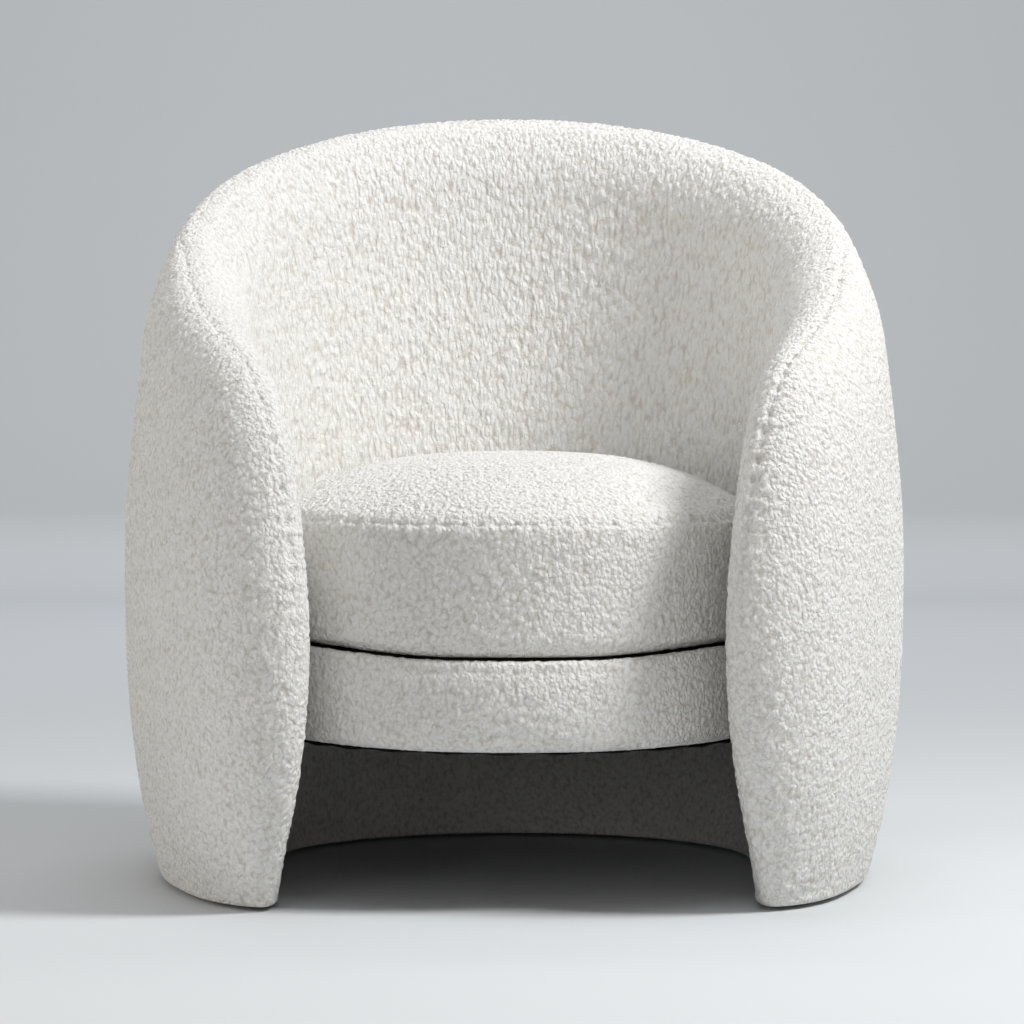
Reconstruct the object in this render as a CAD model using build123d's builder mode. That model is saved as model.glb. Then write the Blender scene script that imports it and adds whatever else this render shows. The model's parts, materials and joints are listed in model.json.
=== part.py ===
from build123d import *

import math
import os

# A barrel armchair. One thick upholstered wall wraps round the back and arms and runs down to the floor,
# a bow-fronted seat platform hangs between its sides, and a loose cushion lies on the platform.
# Origin: on the floor, in the middle of the chair. +X is to the sitter's left, -Y is the front, +Z is up.

os.makedirs("parts", exist_ok=True)

# ---------------------------------------------------------------- driving dimensions, mm
BACK_Y = 27.0            # y of the centre of the back's curve
FRONT_Y = -445.0         # just ahead of the arms
HALF_WIDTH = 403.0       # at the widest height
WIDEST_Z = 330.0
HEIGHT = 804.0
FOOT_TUCK = 38.0         # how far the outside draws in at the floor
TOP_TUCK = 35.0          # and near the top, over the TUCK_RISE above the widest height
TUCK_RISE = 420.0
WELL_RADIUS = 257.0      # inside of the back at seat height
WELL_TAPER = 7.0         # how much closer the inside stands at the floor
WELL_FLARE = 38.0        # how far the inside of the back leans out on its way up
ARM_MOUTH = 212.0        # half the opening between the arms at the front
SIDE_Y = -200.0          # where the outside of an arm has drawn in by SIDE_PULL
SIDE_PULL = 16.0
FRONT_PULL = 118.0       # and how far it has drawn in at FRONT_Y
WELL_SIDE_Y = -150.0     # where the inside of an arm stands WELL_BULGE wider than the back
WELL_BULGE = 1.0
MOUTH_Y = -350.0         # and where it has come in to the mouth
OUTSIDE_LEVELS = (60.0, 160.0, 330.0, 500.0, 650.0, HEIGHT + 6)
INSIDE_LEVELS = (-10.0, 100.0, 200.0, 380.0, 520.0, 660.0, HEIGHT + 20)

# The rim seen from the side: y and z, from the foot over the arm to the back.
RIM_LINE = [
    (-369, -5), (-415, 130), (-429, 270), (-415, 385), (-385, 475), (-335, 536), (-256, 570),
    (-131, 612), (29, 667), (209, 742), (331, 792), (400, HEIGHT),
]

GLIDE_HEIGHT = 4.0
GLIDE_RADIUS = 12.0
NAIL_RADIUS = 1.6
COVER = 3.0              # boucle cloth with its backing
HEM = 2.0                # cloth turned under the feet
OUTER_FOAM = 12.0
INNER_FOAM = 24.0
RIM_FOAM = 55.0          # the frame stops well below the rounded rim
SKIN = 4.0               # bending plywood
BOARD = 18.0             # plywood of the rings and ribs
PLAY = 0.1               # clearance in a halved joint
BASE = GLIDE_HEIGHT + HEM
RING_LEVELS = {
    "floor_ring": BASE,
    "seat_ring": 200.0,
    "arm_ring": 380.0,
    "shoulder_ring": 540.0,
    "crown_ring": 690.0,
}
SEAM_RADIUS = 345.0      # plan radius of the seam between the inside and outside covers
SEAM_PULL = 30.0         # how far it has drawn in at SIDE_Y
SEAM_FRONT = (235.0, -430.0)

SEAT_FRONT_Y = -150.0    # centre of the seat's front curve
SEAT_RADIUS = 253.0
PLATFORM_BOTTOM = 158.0
PLATFORM_TOP = 248.0
BAND_FOAM = 12.0
RAIL = 22.0
RAIL_TOP = 233.0
PAD_BOTTOM = 239.0
DUST_CLOTH = 1.0
HANGER_WIDTH = 50.0
HANGER_REACH = 120.0
HANGER_BOTTOM = 165.0
CORNER_BOTTOM = 195.0
CORNER_BLOCK = (24.0, 70.0)
BOLT_Z = 182.0
BOLT_RADIUS = 4.0
BOLT_HEAD = 9.0          # radius
BOLT_HEAD_HEIGHT = 6.0
BOLT_LENGTH = 110.0
SPRING_WIRE = 1.6        # radius
SPRING_PITCH = 30.0
SPRING_WIDTH = 44.0
SPRING_ROWS = (-150.0, -50.0, 50.0, 150.0)
SPRING_OVERLAP = 6.0     # how far a spring's last bar lies over a rail
CLIP_PLATE = 1.2
CLIP_LENGTH = 14.0
CLIP_WIDTH = 16.0
CLIP_SET_BACK = 1.0      # from the rail's inner face
CLIP_BEND = 2.0          # of sheet round the back of the wire

CUSHION_RADIUS = 251.0
CUSHION_BOTTOM = 250.0
CUSHION_SEAM = 380.0
CUSHION_CROWN = 446.0
WRAP = 18.0
PANEL_TURN = 8.0         # how far the bottom panel turns up the side
# The crown of the cushion: how far in from the side, and how far below the top.
CROWN_STEPS = ((60.0, 24.0), (120.0, 8.0), (180.0, 0.0))
ZIP_Z = 300.0
ZIP_HEIGHT = 24.0
ZIP_ANGLE = 70.0         # half of its turn round the back
TAPE = 1.6
SLIDER_GAP = 0.4
SLIDER = 2.8             # thickness of the slider's body
PULL_TAB = 1.4           # and of its tab
BIG = 1000.0


# ---------------------------------------------------------------- the wall's shape
def smooth(value):
    """Eases from 0 to 1."""
    value = min(1.0, max(0.0, value))
    return value * value * (3 - 2 * value)


def outer_radius(z):
    """Half the chair's width at a height."""
    if z < WIDEST_Z:
        return HALF_WIDTH - FOOT_TUCK * ((WIDEST_Z - z) / WIDEST_Z) ** 2.7
    return HALF_WIDTH - TOP_TUCK * smooth((z - WIDEST_Z) / TUCK_RISE)


def well_radius(z):
    """Radius of the inside of the back at a height."""
    return WELL_RADIUS - WELL_TAPER * (1 - smooth(z / 200)) + WELL_FLARE * smooth((z - 380) / 420)


def barrel(inset, bottom):
    """Everything within the chair's outside."""
    with BuildPart() as body:
        for z in (bottom,) + OUTSIDE_LEVELS:
            radius = outer_radius(z) - inset
            front = radius - FRONT_PULL
            with BuildSketch(Plane.XY.offset(z)):
                with BuildLine():
                    ThreePointArc((-radius, BACK_Y), (0, BACK_Y + radius), (radius, BACK_Y))
                    ThreePointArc((radius, BACK_Y), (radius - SIDE_PULL, SIDE_Y), (front, FRONT_Y))
                    Line((front, FRONT_Y), (-front, FRONT_Y))
                    ThreePointArc((-front, FRONT_Y), (SIDE_PULL - radius, SIDE_Y), (-radius, BACK_Y))
                make_face()
        loft()
    return body.part


def well(inset):
    """The room within the back and arms, open at the front, top and bottom."""
    with BuildPart() as body:
        for z in INSIDE_LEVELS:
            radius = well_radius(z) + inset
            side = radius + WELL_BULGE
            mouth = ARM_MOUTH + inset
            with BuildSketch(Plane.XY.offset(z)):
                with BuildLine():
                    ThreePointArc((-radius, BACK_Y), (0, BACK_Y + radius), (radius, BACK_Y))
                    ThreePointArc((radius, BACK_Y), (side, WELL_SIDE_Y), (mouth, MOUTH_Y))
                    Polyline((mouth, MOUTH_Y), (mouth, -BIG), (-mouth, -BIG), (-mouth, MOUTH_Y))
                    ThreePointArc((-mouth, MOUTH_Y), (-side, WELL_SIDE_Y), (-radius, BACK_Y))
                make_face()
        loft()
    return body.part


def rim_points(inset):
    """The rim line moved in square to itself."""
    points = []
    for before, here, after in zip(RIM_LINE[:1] + RIM_LINE, RIM_LINE, RIM_LINE[1:] + RIM_LINE[-1:]):
        along = (Vector(*after) - Vector(*before)).normalized()
        points.append((here[0] + inset * along.Y, here[1] - inset * along.X))
    return points


def rim_limit(inset):
    """Everything below the rim and behind the front of the arms."""
    points = rim_points(inset)
    (first_y, _), (_, last_z) = points[0], points[-1]
    with BuildPart() as body:
        with BuildSketch(Plane.YZ):
            with BuildLine():
                Spline(*points)
                Polyline(points[-1], (BIG, last_z), (BIG, -BIG), (first_y, -BIG), points[0])
            make_face()
        extrude(amount=BIG, both=True)
    return body.part


def wall(outside, inside, rim, bottom):
    """The wall as one solid, with its layers taken off the outside, inside and rim."""
    with BuildPart() as body:
        add(barrel(outside, bottom))
        add(well(inside), mode=Mode.SUBTRACT)
        add(rim_limit(rim), mode=Mode.INTERSECT)
    return body.part


def slab(low, high):
    """A flat slice of space wider than the chair."""
    with BuildPart() as body:
        with BuildSketch(Plane.XY.offset(low)):
            Rectangle(2 * BIG, 2 * BIG)
        extrude(amount=high - low)
    return body.part


def above_base(shape):
    """A shape cut off level with the bottom of the frame."""
    with BuildPart() as body:
        add(shape)
        add(slab(BASE, 2 * HEIGHT), mode=Mode.INTERSECT)
    return body.part


def seam_prism():
    """Everything on the sitter's side of the seam that runs along the rim."""
    front_x, front_y = SEAM_FRONT
    with BuildPart() as body:
        with BuildSketch(Plane.XY.offset(-BIG)):
            with BuildLine():
                ThreePointArc((-SEAM_RADIUS, BACK_Y), (0, BACK_Y + SEAM_RADIUS), (SEAM_RADIUS, BACK_Y))
                ThreePointArc((SEAM_RADIUS, BACK_Y), (SEAM_RADIUS - SEAM_PULL, SIDE_Y), (front_x, front_y))
                Polyline((front_x, front_y), (front_x, -BIG), (-front_x, -BIG), (-front_x, front_y))
                ThreePointArc((-front_x, front_y), (SEAM_PULL - SEAM_RADIUS, SIDE_Y), (-SEAM_RADIUS, BACK_Y))
            make_face()
        extrude(amount=2 * BIG)
    return body.part


def save(builder, name):
    """Names a finished piece and writes it."""
    builder.part.label = name
    export_step(builder.part, f"parts/{name}.step")


# ---------------------------------------------------------------- layers of the wall, from the outside in
cloth_face = wall(0, 0, 0, GLIDE_HEIGHT)
foam_face = wall(COVER, COVER, COVER, GLIDE_HEIGHT + HEM)
skin_insets = (COVER + OUTER_FOAM, COVER + INNER_FOAM, COVER + RIM_FOAM)
frame_insets = [inset + SKIN for inset in skin_insets]
skin_cutter = wall(*skin_insets, BASE - 1)
frame_cutter = wall(*frame_insets, BASE - 1)
skin_face = above_base(skin_cutter)
frame_room = above_base(frame_cutter)
sitter_side = seam_prism()


# ---------------------------------------------------------------- seat platform shapes
def seat_slab(radius, low, high):
    """A block with the seat's plan: round at the back and at the front."""
    with BuildPart() as body:
        with BuildSketch(Plane.XY.offset(low)):
            with Locations((0, (BACK_Y + SEAT_FRONT_Y) / 2)):
                SlotCenterToCenter(BACK_Y - SEAT_FRONT_Y, 2 * radius, rotation=90)
        extrude(amount=high - low)
    return body.part


band_inside = SEAT_RADIUS - COVER
rail_outside = band_inside - BAND_FOAM
rail_inside = rail_outside - RAIL


# Where the seat is hung from the wall: a plane whose x axis points out through the wall at each hanger.
def outward_plane(angle, y=BACK_Y, x=0.0):
    """A plane on the floor whose x axis points outward, this many degrees round from straight back."""
    turn = math.radians(angle)
    return Plane(origin=(x, y, 0), x_dir=(math.sin(turn), math.cos(turn), 0), z_dir=(0, 0, 1))


RIB_PLANES = {
    "back_rib": outward_plane(0),
    "back_rib_left": outward_plane(42),
    "back_rib_right": outward_plane(-42),
    "side_rib_left": outward_plane(84),
    "side_rib_right": outward_plane(-84),
    "arm_rib_left": outward_plane(90, -150),
    "arm_rib_right": outward_plane(-90, -150),
    "front_rib_left": outward_plane(90, -300),
    "front_rib_right": outward_plane(-90, -300),
}
HANGER_RIBS = ("back_rib", "side_rib_left", "side_rib_right", "arm_rib_left", "arm_rib_right")

with BuildPart() as seat_bolts:
    for rib in HANGER_RIBS:
        plane = RIB_PLANES[rib]
        head = plane.from_local_coords((rail_inside - BOLT_HEAD_HEIGHT, 0, BOLT_Z))
        with BuildSketch(Plane(origin=head, z_dir=plane.x_dir)):
            Circle(BOLT_HEAD)
        extrude(amount=BOLT_HEAD_HEIGHT)
        with BuildSketch(Plane(origin=head, z_dir=plane.x_dir)):
            Circle(BOLT_RADIUS)
        extrude(amount=BOLT_LENGTH)
save(seat_bolts, "seat_bolts")

with BuildPart() as seat_hangers:
    for rib in HANGER_RIBS:
        with BuildSketch(RIB_PLANES[rib].offset(HANGER_BOTTOM)):
            with Locations((rail_outside, 0)):
                Rectangle(HANGER_REACH, HANGER_WIDTH)
        extrude(amount=RING_LEVELS["seat_ring"] - HANGER_BOTTOM)
    add(frame_room, mode=Mode.SUBTRACT)
    add(seat_slab(rail_outside, 0, HEIGHT), mode=Mode.SUBTRACT)
hanger_shape = seat_hangers.part
with BuildPart() as seat_hanger_blocks:
    add(hanger_shape)
    add(seat_bolts.part, mode=Mode.SUBTRACT)
save(seat_hanger_blocks, "seat_hanger_blocks")


# ---------------------------------------------------------------- glides under the wall
GLIDE_RING = 307.0
GLIDE_POINTS = [
    (side * GLIDE_RING * math.sin(math.radians(angle)), BACK_Y + GLIDE_RING * math.cos(math.radians(angle)))
    for side in (-1, 1) for angle in (22, 63)
] + [(-303, -80), (303, -80), (-280, -262), (280, -262)]

with BuildPart() as glide_nails:
    with BuildSketch(Plane.XY.offset(1.5)):
        with Locations(*GLIDE_POINTS):
            Circle(NAIL_RADIUS)
    extrude(amount=20)
save(glide_nails, "glide_nails")

with BuildPart() as glides:
    with BuildSketch(Plane.XY):
        with Locations(*GLIDE_POINTS):
            Circle(GLIDE_RADIUS)
    extrude(amount=GLIDE_HEIGHT)
    add(glide_nails.part, mode=Mode.SUBTRACT)
save(glides, "glides")


# ---------------------------------------------------------------- covers, foam and skins of the wall
def layer(name, outside, inside, mode, holes):
    """One layer between two faces of the wall, on one side of the seam."""
    with BuildPart() as piece:
        add(outside)
        add(inside, mode=Mode.SUBTRACT)
        add(sitter_side, mode=mode)
        for hole in holes:
            add(hole, mode=Mode.SUBTRACT)
    save(piece, name)


layer("outer_cover", cloth_face, foam_face, Mode.SUBTRACT, [])
layer("inner_cover", cloth_face, foam_face, Mode.INTERSECT, [hanger_shape, glide_nails.part])
layer("outer_foam", foam_face, skin_cutter, Mode.SUBTRACT, [])
layer("inner_foam", foam_face, skin_cutter, Mode.INTERSECT, [hanger_shape])
layer("outer_skin", skin_face, frame_cutter, Mode.SUBTRACT, [])
layer("inner_skin", skin_face, frame_cutter, Mode.INTERSECT, [hanger_shape])


# ---------------------------------------------------------------- plywood rings and ribs, halved into each other
def lap(rib, z):
    """How far out along a rib its halved joint with a ring lies."""
    middle = (outer_radius(z) + well_radius(z) + 12) / 2
    if rib.startswith("arm"):
        return middle - 8
    if rib.startswith("front"):
        return middle - 38
    return middle


for ring, level in RING_LEVELS.items():
    with BuildPart() as ring_board:
        add(frame_room)
        add(slab(level, level + BOARD), mode=Mode.INTERSECT)
        for rib, plane in RIB_PLANES.items():
            with BuildSketch(plane.offset(level)):
                with Locations((lap(rib, level), 0)):
                    Rectangle(200, BOARD + 2 * PLAY, align=(Align.MIN, Align.CENTER))
            extrude(amount=BOARD, mode=Mode.SUBTRACT)
        if ring == "floor_ring":
            add(glide_nails.part, mode=Mode.SUBTRACT)
    save(ring_board, ring)

for rib, plane in RIB_PLANES.items():
    with BuildPart() as rib_board:
        with BuildSketch(plane):
            Rectangle(500, BOARD, align=(Align.MIN, Align.CENTER))
        extrude(amount=HEIGHT)
        add(frame_room, mode=Mode.INTERSECT)
        for level in RING_LEVELS.values():
            with BuildSketch(plane.offset(level)):
                with Locations((lap(rib, level), 0)):
                    Rectangle(400, BOARD + 2 * PLAY, align=(Align.MAX, Align.CENTER))
            extrude(amount=BOARD, mode=Mode.SUBTRACT)
        add(seat_bolts.part, mode=Mode.SUBTRACT)
    save(rib_board, rib)


# ---------------------------------------------------------------- seat platform
with BuildPart() as rail_loop:
    add(seat_slab(rail_outside, PLATFORM_BOTTOM + COVER, RAIL_TOP))
    add(seat_slab(rail_inside, 0, HEIGHT), mode=Mode.SUBTRACT)
    add(seat_bolts.part, mode=Mode.SUBTRACT)

rail_regions = {
    "seat_front_rail": (0, SEAT_FRONT_Y - BIG / 2, 2 * BIG, BIG),
    "seat_back_rail": (0, BACK_Y + BIG / 2, 2 * BIG, BIG),
    "seat_side_rail_left": (BIG / 2, (BACK_Y + SEAT_FRONT_Y) / 2, BIG, BACK_Y - SEAT_FRONT_Y),
    "seat_side_rail_right": (-BIG / 2, (BACK_Y + SEAT_FRONT_Y) / 2, BIG, BACK_Y - SEAT_FRONT_Y),
}
for rail, (x, y, width, depth) in rail_regions.items():
    with BuildPart() as rail_piece:
        with BuildSketch():
            with Locations((x, y)):
                Rectangle(width, depth)
        extrude(amount=HEIGHT)
        add(rail_loop.part, mode=Mode.INTERSECT)
    save(rail_piece, rail)

with BuildPart() as corner_blocks:
    with BuildSketch(Plane.XY.offset(CORNER_BOTTOM)):
        with Locations(*[(side * (rail_inside - 10), y) for side in (-1, 1) for y in (SEAT_FRONT_Y, BACK_Y)]):
            Rectangle(*CORNER_BLOCK)
    extrude(amount=RAIL_TOP - CORNER_BOTTOM)
    add(rail_loop.part, mode=Mode.SUBTRACT)
save(corner_blocks, "corner_blocks")


def spring_reach(x):
    """The y of the back rail's and front rail's inner faces at this x."""
    reach = math.sqrt(rail_inside**2 - x**2)
    return BACK_Y + reach, SEAT_FRONT_Y - reach


spring_z = RAIL_TOP + CLIP_PLATE + SPRING_WIRE
springs_made = []
for row in SPRING_ROWS:
    back_y, front_y = spring_reach(row)
    bars = int((back_y - front_y) / SPRING_PITCH)
    first_y, last_y = back_y + SPRING_OVERLAP, front_y - SPRING_OVERLAP
    step = (first_y - last_y) / bars
    corners = []
    for bar in range(bars + 1):
        side = 1 if bar % 2 else -1
        y = first_y - bar * step
        corners += [(row + side * SPRING_WIDTH / 2, y, spring_z), (row - side * SPRING_WIDTH / 2, y, spring_z)]
    with BuildPart() as spring:
        with BuildLine() as wire:
            FilletPolyline(*corners, radius=SPRING_PITCH * 0.4)
        with BuildSketch(Plane(origin=wire.line @ 0, z_dir=wire.line % 0)):
            Circle(SPRING_WIRE)
        sweep()
    springs_made.append(spring.part)
with BuildPart() as seat_springs:
    for spring_part in springs_made:
        add(spring_part)
save(seat_springs, "seat_springs")

with BuildPart() as spring_clips:
    clip_height = 2 * (CLIP_PLATE + SPRING_WIRE)
    for row in SPRING_ROWS:
        for y, facing in zip(spring_reach(row), (1, -1)):
            middle = y + facing * (CLIP_LENGTH / 2 + CLIP_SET_BACK)
            with BuildSketch(Plane.XY.offset(RAIL_TOP)):
                with Locations((row, middle)):
                    Rectangle(CLIP_WIDTH, CLIP_LENGTH)
            extrude(amount=clip_height)
            with BuildSketch(Plane.XY.offset(RAIL_TOP + CLIP_PLATE)):
                with Locations((row, middle - facing * CLIP_BEND)):
                    Rectangle(2 * CLIP_WIDTH, CLIP_LENGTH)
            extrude(amount=2 * SPRING_WIRE, mode=Mode.SUBTRACT)
save(spring_clips, "spring_clips")

with BuildPart() as deck_pad:
    add(seat_slab(band_inside, PAD_BOTTOM, PLATFORM_TOP - COVER))
save(deck_pad, "deck_pad")

with BuildPart() as deck_cloth:
    add(seat_slab(band_inside, PLATFORM_TOP - COVER, PLATFORM_TOP))
save(deck_cloth, "deck_cloth")

with BuildPart() as band_foam:
    add(seat_slab(band_inside, PLATFORM_BOTTOM + COVER, PAD_BOTTOM))
    add(seat_slab(rail_outside, 0, HEIGHT), mode=Mode.SUBTRACT)
    add(hanger_shape, mode=Mode.SUBTRACT)
save(band_foam, "seat_band_foam")

with BuildPart() as band_cover:
    add(seat_slab(SEAT_RADIUS, PLATFORM_BOTTOM, PLATFORM_TOP))
    add(seat_slab(band_inside, PLATFORM_BOTTOM + COVER, HEIGHT), mode=Mode.SUBTRACT)
    add(seat_slab(rail_inside, 0, HEIGHT), mode=Mode.SUBTRACT)
    add(hanger_shape, mode=Mode.SUBTRACT)
save(band_cover, "seat_band_cover")

with BuildPart() as dust_cloth:
    add(seat_slab(rail_outside, PLATFORM_BOTTOM - DUST_CLOTH, PLATFORM_BOTTOM))
save(dust_cloth, "dust_cloth")


# ---------------------------------------------------------------- loose cushion
def cushion_shape(inset):
    """The cushion with its layers taken off: upright sides and a crowned top."""
    low, high = CUSHION_BOTTOM + inset, CUSHION_CROWN - inset
    shoulder = CUSHION_SEAM - inset / 2
    sections = [(low, PANEL_TURN), (low + PANEL_TURN, 0), (shoulder - PANEL_TURN, 0), (shoulder + 12, 12)]
    sections += [(high - drop, pull) for pull, drop in CROWN_STEPS]
    with BuildPart() as body:
        for z, pull in sections:
            with BuildSketch(Plane.XY.offset(z)):
                with Locations((0, (BACK_Y + SEAT_FRONT_Y) / 2)):
                    SlotCenterToCenter(BACK_Y - SEAT_FRONT_Y, 2 * (CUSHION_RADIUS - inset - pull), rotation=90)
        loft(ruled=True)
    return body.part


def back_band(inner, outer, low, high, start, sweep_angle):
    """Part of a cylinder round the back of the cushion, in degrees from the sitter's left."""
    with BuildPart() as body:
        with BuildSketch(Plane.XZ):
            with Locations(((inner + outer) / 2, (low + high) / 2)):
                Rectangle(outer - inner, high - low)
        revolve(axis=Axis.Z, revolution_arc=sweep_angle)
    return body.part.rotate(Axis.Z, start).translate((0, BACK_Y, 0))


cushion_outside = cushion_shape(0)
cushion_lining = cushion_shape(COVER)
zip_low, zip_high = ZIP_Z - ZIP_HEIGHT / 2, ZIP_Z + ZIP_HEIGHT / 2
zip_start, zip_turn = 90 - ZIP_ANGLE, 2 * ZIP_ANGLE
zip_bed = CUSHION_RADIUS - COVER
zip_slot = back_band(zip_bed, CUSHION_RADIUS + COVER, zip_low, zip_high, zip_start, zip_turn)

cushion_regions = {
    "cushion_bottom_panel": (0, CUSHION_BOTTOM + PANEL_TURN),
    "cushion_boxing": (CUSHION_BOTTOM + PANEL_TURN, CUSHION_SEAM),
    "cushion_top_panel": (CUSHION_SEAM, HEIGHT),
}
for panel, (low, high) in cushion_regions.items():
    with BuildPart() as panel_piece:
        add(cushion_outside)
        add(cushion_lining, mode=Mode.SUBTRACT)
        add(slab(low, high), mode=Mode.INTERSECT)
        if panel == "cushion_boxing":
            add(zip_slot, mode=Mode.SUBTRACT)
    save(panel_piece, panel)

with BuildPart() as cushion_wrap:
    add(cushion_lining)
    add(cushion_shape(COVER + WRAP), mode=Mode.SUBTRACT)
save(cushion_wrap, "cushion_wrap")

with BuildPart() as cushion_core:
    add(cushion_shape(COVER + WRAP))
save(cushion_core, "cushion_core")

tape_face = zip_bed + TAPE
with BuildPart() as zip_tape:
    add(back_band(zip_bed, tape_face, zip_low, zip_high, zip_start, zip_turn))
save(zip_tape, "zip_tape")

# The slider's body straddles the teeth, and its tab hangs from the middle of it.
slider_bed = tape_face + SLIDER_GAP
slider_face = slider_bed + SLIDER
with BuildPart() as zip_slider:
    add(back_band(slider_bed, slider_face, ZIP_Z - 6, ZIP_Z + 6, zip_start + 1, 2.4))
    add(back_band(slider_face - PULL_TAB, slider_face, ZIP_Z - 26, ZIP_Z - 4, zip_start + 1.4, 1.6))
save(zip_slider, "zip_slider")
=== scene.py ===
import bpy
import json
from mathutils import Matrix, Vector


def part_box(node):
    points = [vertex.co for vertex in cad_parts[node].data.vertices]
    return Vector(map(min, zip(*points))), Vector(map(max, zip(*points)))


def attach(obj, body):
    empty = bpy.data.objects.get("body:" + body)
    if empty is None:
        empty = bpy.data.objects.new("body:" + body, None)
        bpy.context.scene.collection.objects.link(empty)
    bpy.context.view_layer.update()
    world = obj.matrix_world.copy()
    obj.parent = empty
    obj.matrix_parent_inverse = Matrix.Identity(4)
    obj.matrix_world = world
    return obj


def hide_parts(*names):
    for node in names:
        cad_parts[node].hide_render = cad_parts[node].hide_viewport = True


bl_info = {
    "name": "Barrel armchair",
    "version": (1, 0, 0),
    "blender": (4, 5, 0),
    "location": "View3D > Sidebar > Armchair",
    "description": "Upholsters a barrel armchair around its CAD frame and sets it in a small studio",
    "category": "Object",
}

import json
import math

import bpy
import numpy as np
from mathutils import Vector, kdtree, noise

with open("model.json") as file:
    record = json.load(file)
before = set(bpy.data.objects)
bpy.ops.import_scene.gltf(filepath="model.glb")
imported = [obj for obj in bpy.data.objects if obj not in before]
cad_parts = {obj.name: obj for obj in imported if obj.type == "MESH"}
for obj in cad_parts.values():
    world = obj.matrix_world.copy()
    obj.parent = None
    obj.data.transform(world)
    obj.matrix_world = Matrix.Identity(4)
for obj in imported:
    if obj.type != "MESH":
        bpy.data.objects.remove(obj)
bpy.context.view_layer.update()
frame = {"nodes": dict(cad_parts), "record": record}

MM = 0.001

# ---------------------------------------------------------------- sizes of the wall, metres
FOOT_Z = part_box("glides")[1].z                   # the cloth starts where the glides end
BACK_Y = 27 * MM                                 # centre of the back's curve
HALF_WIDTH = 403 * MM                            # at the widest height
WIDEST_Z = 330 * MM
FOOT_TUCK = 38 * MM                              # how far the outside draws in at the floor
TOP_TUCK = 35 * MM                               # and near the top
TUCK_RISE = 420 * MM
WELL_RADIUS = 257 * MM                           # inside of the back at seat height
WELL_TAPER = 7 * MM                              # how much closer the inside stands at the floor
WELL_FLARE = 38 * MM                             # how far the inside leans out on its way up
ARM_HALF = 42 * MM                               # from the crest to the inside of an arm
CREST_RADIUS = 345 * MM                          # plan radius of the crest round the back
SIDE_RADIUS = 860 * MM                           # and along the arms
QUARTER = CREST_RADIUS * math.pi / 2             # run of the crest from straight back to the side
FOOT_RUN = 953 * MM                              # run from straight back to the front of a foot

# The crest unrolled: run round from straight back, and height. The first and last only steer the curve.
CREST_LINE = [
    (-170, 789), (0, 804), (170, 789), (350, 742), (540, 667), (700, 612), (830, 570), (915, 536),
    (972, 475), (1006, 385), (1022, 270), (1006, 130), (952, -5), (900, -130),
]

# ---------------------------------------------------------------- sizes of the seat, metres
SEAT_BACK_Y = BACK_Y
SEAT_FRONT_Y = -150 * MM                         # centre of the seat's front curve
BAND_LOW, BAND_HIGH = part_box("seat_band_cover")[0].z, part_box("seat_band_cover")[1].z
BAND_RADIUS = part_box("seat_band_cover")[1].x
BAND_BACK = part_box("seat_front_rail")[1].x       # the rails stand behind the band's foam
DECK_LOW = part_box("deck_pad")[0].z
CUSHION_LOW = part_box("cushion_bottom_panel")[0].z
CUSHION_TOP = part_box("cushion_top_panel")[1].z
CUSHION_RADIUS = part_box("cushion_boxing")[1].x
CUSHION_SEAM = 383 * MM
ZIP_LOW, ZIP_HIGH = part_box("zip_tape")[0].z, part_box("zip_tape")[1].z
ZIP_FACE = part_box("zip_tape")[1].y - BACK_Y
ZIP_REACH = math.radians(70)                     # half of the tape's turn round the back
FILL_STEPS = (6, 14, 28, 48, 75, 110, 150, 190)  # mm in from the edge, where the filling's crown is drawn

# ---------------------------------------------------------------- the pile
PILE_SEED = 7                                    # without one, the noise starts from the clock

# ---------------------------------------------------------------- the arms' front lobes, metres
LOBE_SLIM = 10 * MM                              # thinner at the front
LOBE_FOOT_SLIM = 10 * MM                         # and by this much more at the floor
LOBE_FOOT_RISE = 250 * MM                        # height where the second one ends

# ---------------------------------------------------------------- studio, metres and watts; the lens in mm
CAMERA_PLACE = (-0.052, -5.0, 0.600)
CAMERA_AIM = (-0.0016, 0, 0.3764)
CAMERA_LENS = 166.6
CAMERA_SENSOR = 36.0
AIR_COLOUR = "#F6F3EF"
AIR_STRENGTH = 0.25
# Name, place, aim, size, power and colour of each light.
LIGHTS = (
    ("key_softbox", (2.2, -0.85, 3.0), (0, 0, 0.45), 0.9, 110, "#FFFFFF"),
    ("top_softbox", (-0.2, -0.3, 3.1), (0, 0.1, 0.4), 1.4, 14, "#F0F6FF"),
    ("front_fill", (0.3, -4.6, 1.6), (0, 0, 0.4), 2.2, 11, "#FFFBF6"),
    ("left_fill", (-3.4, -0.3, 1.2), (0, 0, 0.4), 1.8, 30, "#FFF9F2"),
    ("right_fill", (-1.2, -3.4, 0.9), (0.2, -0.3, 0.35), 1.0, 6, "#FFFFFF"),
    ("paper_wash", (0.0, 5.0, 6.0), (0, 9.6, 0.8), 6.0, 640, "#FFFFFF"),
)
# Painted light and shade on the paper from front to back: lighter near the front and greyer far back, in
# place of the lamps' fall-off.
PAPER_FRONT_Y = -1.2
PAPER_FAR_Y = 8.0
PAPER_PAINTED_LIGHT = ((0.0, "#FFFFFF"), (0.2, "#E4E5E6"), (0.35, "#D0D1D3"), (0.62, "#B2B4B7"), (1.0, "#BFC0C1"))


# ---------------------------------------------------------------- settings
def linear(code):
    """A hex colour as linear red, green, blue and alpha."""
    parts = [int(code[i:i + 2], 16) / 255 for i in (1, 3, 5)]
    return tuple(c / 12.92 if c <= 0.04045 else ((c + 0.055) / 1.055) ** 2.4 for c in parts) + (1.0,)


def length(name, description, default, low, high):
    """A size in metres that a user may change."""
    return bpy.props.FloatProperty(
        name=name, description=description, default=default, min=low, max=high, subtype="DISTANCE",
        unit="LENGTH", precision=4)


def colour(name, description, code):
    """A colour that a user may change."""
    return bpy.props.FloatVectorProperty(
        name=name, description=description, default=linear(code), size=4, min=0, max=1, subtype="COLOR")


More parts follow.
